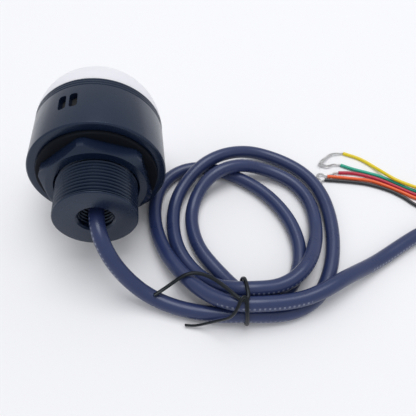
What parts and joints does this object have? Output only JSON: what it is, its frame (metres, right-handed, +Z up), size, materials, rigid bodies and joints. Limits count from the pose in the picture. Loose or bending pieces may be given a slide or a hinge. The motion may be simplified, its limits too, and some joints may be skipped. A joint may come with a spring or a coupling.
{
  "type": "dome status light with sounder",
  "caption": "Round machine status light and sounder with a frosted dome, a threaded panel stem, a lock nut with gasket and a coiled five-core cable with bare ends.",
  "frame": {"origin": "on the surface that the light lies on, below the middle of its length, on its axis", "axes": "+Y along the light's axis towards the dome, -Y out of the stem, +Z up, +X towards the coiled cable"},
  "size_m": [0.2083, 0.1087, 0.0518],
  "materials": {
    "body_plastic": "satin moulded black plastic with a fine texture",
    "frosted_dome": "frosted opal polycarbonate",
    "seal_rubber": "soft moulded rubber",
    "white_plastic": "white moulded plastic",
    "lamp_board": "white solder resist",
    "lamp_red": "clear red lamp body",
    "lamp_yellow": "clear yellow lamp body",
    "lamp_green": "clear green lamp body",
    "steel": "zinc plated",
    "driver_board": "green solder resist",
    "black_plastic": "moulded black plastic",
    "screen_fabric": "fine woven dust screen",
    "capacitor_can": "sleeved can",
    "terminal_plastic": "green terminal block",
    "cable_jacket": "slate blue PVC jacket, satin",
    "core_yellow": "PVC insulation",
    "core_green": "PVC insulation",
    "core_red": "PVC insulation",
    "core_orange": "PVC insulation",
    "core_black": "PVC insulation",
    "tinned_copper": "stranded tinned copper",
    "tie_black": "plastic covered wire"
  },
  "bodies": {
    "light": {"housing": "body_plastic", "dome_lens": "frosted_dome", "dome_seal": "seal_rubber", "reflector": "white_plastic", "led_board": "lamp_board", "leds_red": "lamp_red", "leds_yellow": "lamp_yellow", "leds_green": "lamp_green", "led_screws": "steel", "standoffs": "white_plastic", "driver_board": "driver_board", "board_screws": "steel", "buzzer": "black_plastic", "vent_screen": "screen_fabric", "capacitors": "capacitor_can", "controller_chip": "black_plastic", "board_header": "black_plastic", "wire_terminal": "terminal_plastic", "inner_leads": "core_black", "cable_clamp": "black_plastic", "cable_seal": "seal_rubber", "cable_inner": "cable_jacket", "cable_lead": "cable_jacket", "cable_turn_1": "cable_jacket", "cable_turn_2": "cable_jacket", "cable_turn_3": "cable_jacket", "cable_tail": "cable_jacket", "core_yellow": "core_yellow", "core_green": "core_green", "core_red": "core_red", "core_orange": "core_orange", "core_black": "core_black", "core_tips": "tinned_copper", "twist_tie": "tie_black"},
    "washer": {"gasket": "seal_rubber"},
    "nut": {"lock_nut": "body_plastic"}
  },
  "joints": [
    {"name": "nut_travel", "type": "slide", "parent": "light", "child": "washer", "axis": [0, -1, 0], "range_m": [0, 0.01425]},
    {"name": "nut_turn", "type": "hinge", "parent": "washer", "child": "nut", "pos_m": [0, -0.019, 0.0259], "axis": [0, -1, 0], "range_deg": [0, 3420]}
  ],
  "couplings": [
    {"joint": "nut_travel", "follows": "nut_turn", "m_per_rad": 0.00023873}
  ]
}
